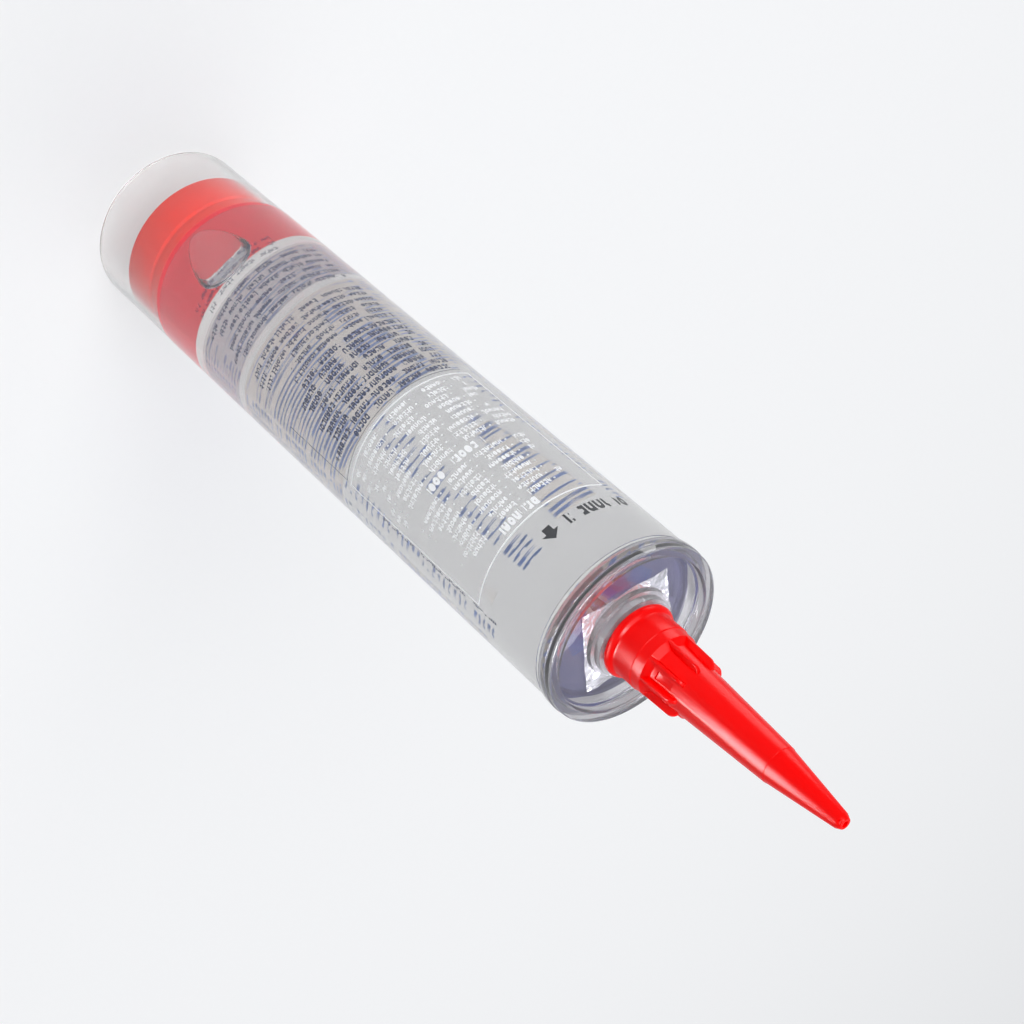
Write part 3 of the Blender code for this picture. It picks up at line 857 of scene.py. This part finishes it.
# The front face under the filling is the plunger's red drawn darker and bluer: painted shade with a violet
# cast
plunger_face_painted_shade = make_red(
    "plunger_face_under_filling_painted_shade", (0.92, 0.03, 0.05), roughness=0.45, shine=0.1, grain=1500)
foil_finish = make_foil_finish()


# Heights where one region of the film's print ends and the next begins
REAR_END = 84.0
MIDDLE_END = 134.6
PANEL_END = 193.0

# Turn where the near side's print begins. It ends at the seam
NEAR_PRINT_START = -68


def on_film(at):
    return radius_of(at) > barrel_radius + FILM_CATCH


def faces_camera(at):
    """True on the side of the film that holds the front print."""
    turn = math.degrees(math.atan2(at.y, at.x)) - FRONT
    return NEAR_PRINT_START < (turn + 180) % 360 - 180 < FILM_SEAM


# Pieces
def make_barrel():
    """Barrel and the printed film that is bonded to it, as one wall."""
    edge = 0.3
    section = [
        (bore_radius, edge),
        (bore_radius + edge, 0),
        (barrel_radius - edge, 0),
        (barrel_radius, edge),
        (barrel_radius, film_rear),
        (film_radius, film_rear + FILM_EDGE),
        (film_radius, REAR_END),
        (film_radius, MIDDLE_END),
        (film_radius, PANEL_END),
        (film_radius, film_front - FILM_EDGE),
        (barrel_radius, film_front),
        (barrel_radius, barrel_top - edge),
        (barrel_radius - edge, barrel_top),
        (bore_radius + edge, barrel_top),
        (bore_radius, barrel_top - edge),
        (bore_radius, filling_rear),
    ]
    barrel = turned("barrel", section)
    dress(
        barrel,
        (clear_wall, None),
        (printed_far_rear, lambda at, normal: on_film(at)),
        (printed_far_front, lambda at, normal: on_film(at) and at.z > MIDDLE_END),
        (printed_rear, lambda at, normal: on_film(at) and faces_camera(at)),
        (printed_middle, lambda at, normal: on_film(at) and faces_camera(at) and at.z > REAR_END),
        (printed_panel, lambda at, normal: on_film(at) and faces_camera(at) and at.z > MIDDLE_END),
        (printed_front_end, lambda at, normal: on_film(at) and faces_camera(at) and at.z > PANEL_END),
        (sawn_rim, lambda at, normal: at.z < edge),
        (bonded_wall, lambda at, normal: facing(at, normal) < -SQUARE and at.z > filling_rear),
    )
    shade(barrel)
    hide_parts("barrel", "label")
    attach(barrel, "cartridge")


def make_plunger():
    wall = 1.4
    draft = 0.3
    cup = plunger_radius - wall
    floor = plunger_front - 1.6
    groove_top = plunger_front - 3.2
    groove_bottom = groove_top - 1.8
    groove = plunger_radius - 0.6
    groove_slope = 0.45
    section = [
        (CENTRE, plunger_front),
        (plunger_radius, plunger_front),
        (plunger_radius, groove_top),
        (groove, groove_top - groove_slope),
        (groove, groove_bottom + groove_slope),
        (plunger_radius, groove_bottom),
        (plunger_radius, plunger_rear),
        (cup, plunger_rear),
        (cup - draft, floor),
        (CENTRE, floor),
    ]
    plunger = turned("plunger", section, closed=False)
    soften(plunger, width=0.35)
    # The front face gets the painted shade
    dress(plunger, (plunger_red, None), (plunger_face_painted_shade, lambda at, normal: normal.z > SQUARE))
    shade(plunger)
    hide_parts("plunger")
    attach(plunger, "plunger")


# Air bubble, in mm and degrees. The room that it may fill ends short of the filling's outside
BUBBLE_TURN = -4.5
BUBBLE_WIDEST = 47.6
BUBBLE_FRONT_LENGTH = 8.8
BUBBLE_REAR_LENGTH = 12.6
BUBBLE_WIDTH = 16.2
BUBBLE_DEPTH = 9.0
BUBBLE_CUT_DEPTH = 1.2
BUBBLE_TAPER = 0.5
BUBBLE_TILT = 8.0
BUBBLE_ROOM_TOP = 70
FILLING_SKIN = 0.2


def make_bubble():
    """Air bubble: an egg with its narrow rear end at the wall and its blunt front end deeper in."""
    deselect()
    bpy.ops.mesh.primitive_uv_sphere_add(segments=64, ring_count=48, radius=0.5)
    bubble = bpy.context.object
    apply_modifier(
        bubble, "SIMPLE_DEFORM", deform_method="TAPER", deform_axis="Z", factor=BUBBLE_TAPER, lock_x=True)
    only(bubble)
    bpy.ops.transform.resize(value=(BUBBLE_DEPTH * MM, BUBBLE_WIDTH * MM, 2 * BUBBLE_REAR_LENGTH * MM))
    place_in_mesh(bubble)
    pick(bubble, lambda at, normal: at.z > 0)
    blunt = BUBBLE_FRONT_LENGTH / BUBBLE_REAR_LENGTH
    bpy.ops.transform.resize(value=(1, 1, blunt), center_override=(0, 0, 0))
    bpy.ops.object.mode_set(mode="OBJECT")
    bpy.ops.transform.rotate(value=math.radians(BUBBLE_TILT), orient_axis="Y", center_override=(0, 0, 0))
    middle = filling_radius + BUBBLE_CUT_DEPTH - BUBBLE_DEPTH / 2
    bpy.ops.transform.translate(value=(middle * MM, 0, BUBBLE_WIDEST * MM))
    place_in_mesh(bubble)
    turn_piece(bubble, aim(BUBBLE_TURN))
    inside = filling_radius - FILLING_SKIN
    section = [
        (CENTRE, filling_rear),
        (inside, filling_rear),
        (inside, BUBBLE_ROOM_TOP),
        (CENTRE, BUBBLE_ROOM_TOP),
    ]
    room = turned("room_in_the_wall", section, closed=False)
    join_or_cut(bubble, room, "INTERSECT")
    return bubble


def make_filling():
    shelf = barrel_top - 6.3
    core = plunger_radius - 1.5
    section = [
        (CENTRE, filling_rear),
        (filling_radius, filling_rear),
        (filling_radius, shelf),
        (core, shelf),
        (core, filling_front),
        (CENTRE, filling_front),
    ]
    filling = turned("sealant", section, closed=False)
    bubble = make_bubble()
    join_or_cut(filling, bubble, "DIFFERENCE")
    inside = filling_radius - NEAR
    bubble_rear = filling_rear + 0.3
    bubble_front = 60
    dress(
        filling,
        (filling_side, None),
        (filling_bonded, lambda at, normal: normal.z < -SQUARE and at.z < filling_rear + NEAR),
        (filling_open, lambda at, normal: normal.z > SQUARE and at.z > filling_front - NEAR),
        # The bubble's skin carries its faint painted reflection
        (bubble_skin_painted_reflection, lambda at, normal: bubble_rear < at.z < bubble_front and radius_of(at) < inside),
    )
    shade(filling)
    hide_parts("sealant")
    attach(filling, "cartridge")
    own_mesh(filling)


# Neck thread, in mm and whole turns. Its triangular section is 1.5 times its radius across
THREAD_SECTION_RADIUS = 0.6
THREAD_SECTION_WIDTH = 0.9
THREAD_ROOT = 0.2
THREAD_TURNS = 3
THREAD_RISE = 7.2
THREAD_STEPS = 216


def make_neck_thread(core, crest, start):
    """Screw thread round the neck, seen when the nozzle is lifted off."""
    root = core - THREAD_ROOT
    deselect()
    bpy.ops.mesh.primitive_circle_add(vertices=3, radius=THREAD_SECTION_RADIUS * MM, fill_type="NGON")
    thread = bpy.context.object
    thread.name = "neck_thread"
    bpy.ops.transform.rotate(value=math.radians(-90), orient_axis="X", center_override=(0, 0, 0))
    place_in_mesh(thread)
    only(thread)
    bpy.ops.transform.resize(value=((crest - root) / THREAD_SECTION_WIDTH, 1, 1))
    bpy.ops.transform.translate(value=(root * MM, 0, start * MM))
    place_in_mesh(thread)
    apply_modifier(
        thread, "SCREW", axis="Z", angle=math.radians(360 * THREAD_TURNS), screw_offset=THREAD_RISE * MM,
        steps=THREAD_STEPS, render_steps=THREAD_STEPS)
    clean_up(thread, gap=0.001)
    dress(thread, (cap_clear, None))
    shade(thread)
    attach(thread, "cartridge")


# Where the cap's painted shade and bonded faces go: the slopes of the flange's rounded edges, and the plug's
# faces that look down
EDGE_FLATTEST = 0.97
EDGE_STEEPEST = 0.25
DOWNWARD = -0.5


def make_front_cap():
    flange_bottom = barrel_top + 0.3
    flange_top = flange_bottom + 4.6
    step_height = flange_bottom + 2.3
    step = 0.25
    top_edge = 0.5
    recess = flange_radius - 3.0
    draft = 0.3
    face_top = flange_top - 2.5
    face_bottom = face_top - 1.5
    plug = bore_radius - 0.3
    plug_inner = plug - 1.2
    plug_end = barrel_top - 6.0
    boss_top = face_top + 1.4
    seat_top = boss_top + 1.9
    seat = foot_radius + 0.9
    boss = seat + 1.2
    neck = 7.4
    core = 6.9
    bore = 5.2
    neck_land = seat_top + 1.0
    core_start = seat_top + 1.4
    thread_start = seat_top + 2.2
    section = [
        (bore, face_bottom),
        (plug_inner, face_bottom),
        (plug_inner, plug_end),
        (plug, plug_end),
        (plug, flange_bottom),
        (flange_radius, flange_bottom),
        (flange_radius, step_height),
        (flange_radius - step, step_height),
        (flange_radius - step, flange_top - step),
        (flange_radius - top_edge, flange_top),
        (recess, flange_top),
        (recess - draft, face_top),
        (boss, face_top),
        (boss, boss_top),
        (seat, boss_top),
        (seat, seat_top),
        (neck, seat_top),
        (neck, neck_land),
        (core, core_start),
        (core, neck_top),
        (bore, neck_top),
    ]
    cap = turned("front_cap", section)
    make_neck_thread(core, neck, thread_start)
    soften(cap, width=0.3, segments=4)
    rim = recess - 0.2
    rim_edge = recess - 0.4
    boss_foot = boss + 0.2
    plug_top = flange_bottom - 0.4
    plug_foot = plug_end + 0.5
    plug_bore = plug_inner - 0.5
    dress(
        cap,
        (cap_clear, None),
        # The flange gets its painted grey shade
        (cap_flange_painted_shade, lambda at, normal: radius_of(at) > rim and at.z > flange_bottom - NEAR),
        # The rounded edges of the flange get darker painted shade
        (cap_edge_painted_shade, lambda at, normal: radius_of(at) > rim_edge and at.z > flange_bottom - NEAR
         and EDGE_STEEPEST < abs(normal.z) < EDGE_FLATTEST),
        (cap_boss, lambda at, normal: radius_of(at) < boss_foot and at.z > face_top - NEAR),
        (cap_bonded, lambda at, normal: facing(at, normal) > SQUARE and at.z < plug_top
         and radius_of(at) > plug - NEAR),
        (cap_bonded, lambda at, normal: normal.z < DOWNWARD and at.z < plug_foot),
        (cap_bonded, lambda at, normal: facing(at, normal) < -SQUARE and at.z < filling_front
         and radius_of(at) > plug_bore),
    )
    shade(cap)
    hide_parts("front_cap")
    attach(cap, "cartridge")


# Nozzle sizes in mm, with heights above its foot
NOZZLE_LENGTH = 73.0
FOOT_EDGE = 0.3
FOOT_EDGE_TOP = 0.4
BEAD_TOP = 1.2
FLARE_INSET = 0.38
FLARE_TOP = 1.9
COLLAR_FILLET = 0.14
COLLAR_FILLET_START = 2.4
COLLAR_START = 3.1
COLLAR_RADIUS = 9.25
COLLAR_STEP_START = 8.5
COLLAR_STEP_END = 8.75
COLLAR_TOP_RADIUS = 8.9
COLLAR_DRAFT = 0.1
SHOULDER_FOOT = 11.7
CONE_START = 13.3
CONE_START_RADIUS = 7.17
CONE_BREAK = 51.2
CONE_BREAK_RADIUS = 5.1
CONE_BREAK_STEP = 0.12
CONE_WALL = 1.3
TIP_START = 71.6
TIP_START_RADIUS = 2.2
TIP_FACE_RADIUS = 1.5
ORIFICE_START = 67.0
ORIFICE_RADIUS = 0.85
THREAD_BORE_RADIUS = 7.8

RIB_COUNT = 9
RIB_FIRST_TURN = 7.7
RIB_CREST = 8.86
RIB_START = 11.1
RIB_END = 22.7
RIB_WIDTH = 1.3
RIB_CREST_SHARE = 0.6
RIB_ROOT_DEPTH = 0.6
RIB_FALL = 0.4
RIB_NOSE = 2.2

# Moulded pocket between two ribs, and the notch in the tip's bevel
POCKET_TURN = 28.7
POCKET_START = 14.7
POCKET_LENGTH = 5.4
POCKET_WIDTH = 2.0
POCKET_DEPTH = 0.95
POCKET_OUTSIDE = 0.6
NOTCH_TURN = 18.7
NOTCH_START = 0.4
NOTCH_LENGTH = 0.7
NOTCH_WIDTH = 0.8
NOTCH_DEPTH = 0.8
NOTCH_RADIUS = 2.4


def cone_outside(height):
    """Outer radius of the nozzle's long cone at a height above its foot."""
    share = (height - CONE_START) / (CONE_BREAK - CONE_START)
    return CONE_START_RADIUS + (CONE_BREAK_RADIUS - CONE_START_RADIUS) * share


def make_rib():
    """One grip rib: a block, narrower and lower towards its nose, which is rounded."""
    root = cone_outside(RIB_END) - RIB_ROOT_DEPTH
    deselect()
    middle = ((root + RIB_CREST) / 2 * MM, 0, (RIB_START + RIB_END) / 2 * MM)
    bpy.ops.mesh.primitive_cube_add(size=1, location=middle)
    rib = bpy.context.object
    bpy.ops.transform.resize(value=((RIB_CREST - root) * MM, RIB_WIDTH * MM, (RIB_END - RIB_START) * MM))
    place_in_mesh(rib)
    pick(rib, lambda at, normal: normal.x > SQUARE)
    bpy.ops.transform.resize(value=(1, RIB_CREST_SHARE, 1))
    pick_edges(rib, lambda at: at.x > RIB_CREST - NEAR and at.z > RIB_END - NEAR)
    bpy.ops.transform.translate(value=(-RIB_FALL * MM, 0, 0))
    bpy.ops.mesh.bevel(offset=RIB_NOSE * MM, segments=10, profile=0.5)
    bpy.ops.object.mode_set(mode="OBJECT")
    soften(rib, width=0.1, segments=2, angle=40)
    return rib


def make_block(width, depth, height, radius, turn, bottom):
    """A box whose outer face lies at a radius, turned to its place round the axis."""
    deselect()
    middle = ((radius - depth / 2) * MM, 0, (bottom + height / 2) * MM)
    bpy.ops.mesh.primitive_cube_add(size=1, location=middle)
    box = bpy.context.object
    bpy.ops.transform.resize(value=(depth * MM, width * MM, height * MM))
    place_in_mesh(box)
    turn_piece(box, aim(turn))
    return box


def make_nozzle():
    section = [
        (foot_radius - FOOT_EDGE, 0),
        (foot_radius, FOOT_EDGE_TOP),
        (foot_radius, BEAD_TOP),
        (foot_radius - FLARE_INSET, FLARE_TOP),
        (COLLAR_RADIUS + COLLAR_FILLET, COLLAR_FILLET_START),
        (COLLAR_RADIUS, COLLAR_START),
        (COLLAR_RADIUS, COLLAR_STEP_START),
        (COLLAR_TOP_RADIUS + COLLAR_DRAFT, COLLAR_STEP_END),
        (COLLAR_TOP_RADIUS, SHOULDER_FOOT),
        (CONE_START_RADIUS, CONE_START),
        (CONE_BREAK_RADIUS, CONE_BREAK),
        (CONE_BREAK_RADIUS - CONE_BREAK_STEP, CONE_BREAK + CONE_BREAK_STEP),
        (TIP_START_RADIUS, TIP_START),
        (TIP_FACE_RADIUS, NOZZLE_LENGTH),
        (ORIFICE_RADIUS, NOZZLE_LENGTH),
        (ORIFICE_RADIUS, ORIFICE_START),
        (CONE_BREAK_RADIUS - CONE_WALL, CONE_BREAK),
        (CONE_START_RADIUS - CONE_WALL, CONE_START),
        (THREAD_BORE_RADIUS, SHOULDER_FOOT),
        (THREAD_BORE_RADIUS, 0),
    ]
    nozzle = turned("nozzle", section, steps=NOZZLE_STEPS)
    soften(nozzle, width=0.16, segments=2, angle=20)
    rib = make_rib()
    ribs = []
    for index in range(RIB_COUNT):
        only(rib)
        bpy.ops.object.duplicate(linked=False)
        copy = bpy.context.object
        turn_piece(copy, aim(RIB_FIRST_TURN + 360 * index / RIB_COUNT))
        ribs.append(copy)
    bpy.data.objects.remove(rib, do_unlink=True)
    for copy in ribs:
        join_or_cut(nozzle, copy, "UNION")
    pocket_radius = cone_outside(POCKET_START + POCKET_LENGTH / 2) + POCKET_OUTSIDE
    pocket = make_block(
        POCKET_WIDTH, POCKET_DEPTH, POCKET_LENGTH, pocket_radius, POCKET_TURN, POCKET_START)
    soften(pocket, width=0.12, segments=2, angle=40)
    join_or_cut(nozzle, pocket, "DIFFERENCE")
    notch = make_block(
        NOTCH_WIDTH, NOTCH_DEPTH, NOTCH_LENGTH, NOTCH_RADIUS, NOTCH_TURN, TIP_START + NOTCH_START)
    join_or_cut(nozzle, notch, "DIFFERENCE")
    only(nozzle)
    bpy.ops.transform.translate(value=(0, 0, nozzle_foot * MM))
    place_in_mesh(nozzle)
    dress(nozzle, (nozzle_red, None))
    shade(nozzle, angle=30)
    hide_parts("nozzle")
    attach(nozzle, "nozzle")


# Foil, in mm and degrees
FOIL_SIDE = 26.4
FOIL_TURN = 61.5
FOIL_OFFSET = 2.2
FOIL_SINK = 0.6
FOIL_CELLS = 90
FOIL_WRINKLE = 7
FOIL_WRINKLE_HEIGHT = 1.1
FOIL_THICKNESS = 0.1


def make_foil():
    """Square of crumpled foil, sealed under the neck."""
    deselect()
    bpy.ops.mesh.primitive_grid_add(
        x_subdivisions=FOIL_CELLS, y_subdivisions=FOIL_CELLS, size=FOIL_SIDE * MM, location=(0, 0, 0))
    foil = bpy.context.object
    foil.name = "foil_seal"
    wrinkles = bpy.data.textures.new("foil_wrinkles", "VORONOI")
    wrinkles.noise_scale = FOIL_WRINKLE * MM
    wrinkles.distance_metric = "DISTANCE"
    apply_modifier(
        foil, "DISPLACE", texture=wrinkles, texture_coords="LOCAL", strength=FOIL_WRINKLE_HEIGHT * MM,
        mid_level=0.5)
    apply_modifier(foil, "SMOOTH", factor=0.5, iterations=1)
    turn_piece(foil, aim(FOIL_TURN))
    bpy.ops.transform.translate(value=(0, FOIL_OFFSET * MM, (foil_top - FOIL_SINK) * MM))
    place_in_mesh(foil)
    apply_modifier(foil, "SOLIDIFY", thickness=FOIL_THICKNESS * MM, offset=-1)
    dress(foil, (foil_finish, None))
    shade(foil, angle=60)
    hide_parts("foil_seal")
    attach(foil, "cartridge")


make_barrel()
make_plunger()
make_filling()
make_front_cap()
make_nozzle()
make_foil()


# Stage, in metres. The floor and the room look brighter than the light that they give
FLOOR_SIZE = 8.0
FLOOR_DROP = 0.0002
FLOOR_GRAIN = 400
FLOOR_TONES = ((0.845, 0.85, 0.862, 1), (0.865, 0.87, 0.878, 1))
FLOOR_LOOK = (0.87, 0.88, 0.895, 1)
FLOOR_LOOK_SHARE = 0.5
ROOM_COLOUR = (0.9, 0.91, 0.93, 1)
ROOM_LIGHT = 0.5
ROOM_EXTRA_LOOK = 0.15

# Camera's place in metres, and its angles in degrees
CAMERA_PLACE = (0.00228, -0.44819, 0.51300)
CAMERA_TURN = 0.690
CAMERA_TILT = 90 - 37.585
CAMERA_ROLL = 131.356


def make_floor():
    """Pale floor that keeps the cartridge's shadow. Seen directly, half of its brightness is even."""
    deselect()
    bpy.ops.mesh.primitive_plane_add(size=FLOOR_SIZE, location=(0, 0, -FLOOR_DROP))
    floor = bpy.context.object
    floor.name = "floor"
    material, tree = new_tree("pale_floor")
    tone = blend_colour(tree, noise_at(tree, FLOOR_GRAIN, detail=4.0), *FLOOR_TONES)
    shader = principled(tree, Base_Color=tone, Roughness=0.9, Specular_IOR_Level=0.0)
    even = add(tree, "ShaderNodeEmission")
    even.inputs["Color"].default_value = FLOOR_LOOK
    share = calc(tree, "MULTIPLY", seen_directly(tree), FLOOR_LOOK_SHARE)
    finish_with(tree, mix_shaders(tree, share, shader, even))
    floor.data.materials.append(material)


def make_world():
    """Pale room. The eye, metal and clear plastic see it brighter than it lights the cartridge."""
    world = bpy.data.worlds.new("soft_room")
    world.use_nodes = True
    tree = world.node_tree
    back = tree.nodes["Background"]
    back.inputs["Color"].default_value = ROOM_COLOUR
    strength = calc(tree, "MULTIPLY_ADD", seen_directly(tree), ROOM_EXTRA_LOOK, ROOM_LIGHT)
    put(tree, back.inputs["Strength"], strength)
    bpy.context.scene.world = world


def make_lamp(name, place, target, width, height, power, shine_only=False, spread=180):
    lamp = bpy.data.lights.new(name, "AREA")
    lamp.spread = math.radians(spread)
    lamp.shape = "ELLIPSE"
    lamp.size = width
    lamp.size_y = height
    lamp.energy = power
    holder = bpy.data.objects.new(name, lamp)
    holder.visible_camera = False
    holder.visible_diffuse = not shine_only
    holder.visible_transmission = not shine_only
    bpy.context.collection.objects.link(holder)
    holder.location = place
    direction = Vector(target) - Vector(place)
    holder.rotation_euler = direction.to_track_quat("-Z", "Y").to_euler()


def make_camera():
    view = bpy.data.cameras.new("camera")
    view.sensor_width = 36.0
    view.lens = 77.888
    camera = bpy.data.objects.new("camera", view)
    bpy.context.collection.objects.link(camera)
    turn = Matrix.Rotation(math.radians(CAMERA_TURN), 4, "Z")
    tilt = Matrix.Rotation(math.radians(CAMERA_TILT), 4, "X")
    roll = Matrix.Rotation(math.radians(CAMERA_ROLL), 4, "Z")
    camera.matrix_world = Matrix.Translation(CAMERA_PLACE) @ turn @ tilt @ roll
    view.clip_start = 0.01
    bpy.context.scene.camera = camera


make_floor()
make_world()
make_lamp(
    "key_lamp", place=(-0.5, -0.8, 1.15), target=(0, 0, 0.15), width=0.9, height=0.9, power=9.6)
make_lamp(
    "back_lamp", place=(0.15, 0.4, 1.3), target=(0, 0, 0.1), width=0.8, height=0.8, power=8)
make_lamp(
    "shine_lamp", place=(0.06, -0.46, 1.1), target=(0, 0, 0.24), width=0.3, height=0.3, power=9,
    shine_only=True)
make_lamp(
    "left_sheen_lamp", place=(0.31, -0.16, 0.2), target=(0, 0, 0.27), width=0.5, height=0.18, power=1.1,
    shine_only=True, spread=60)
make_lamp(
    "right_sheen_lamp", place=(-0.3, -0.03, 0.17), target=(0, 0, 0.28), width=0.2, height=0.2, power=0.45,
    shine_only=True)
make_camera()
bpy.context.scene.view_settings.view_transform = "Standard"
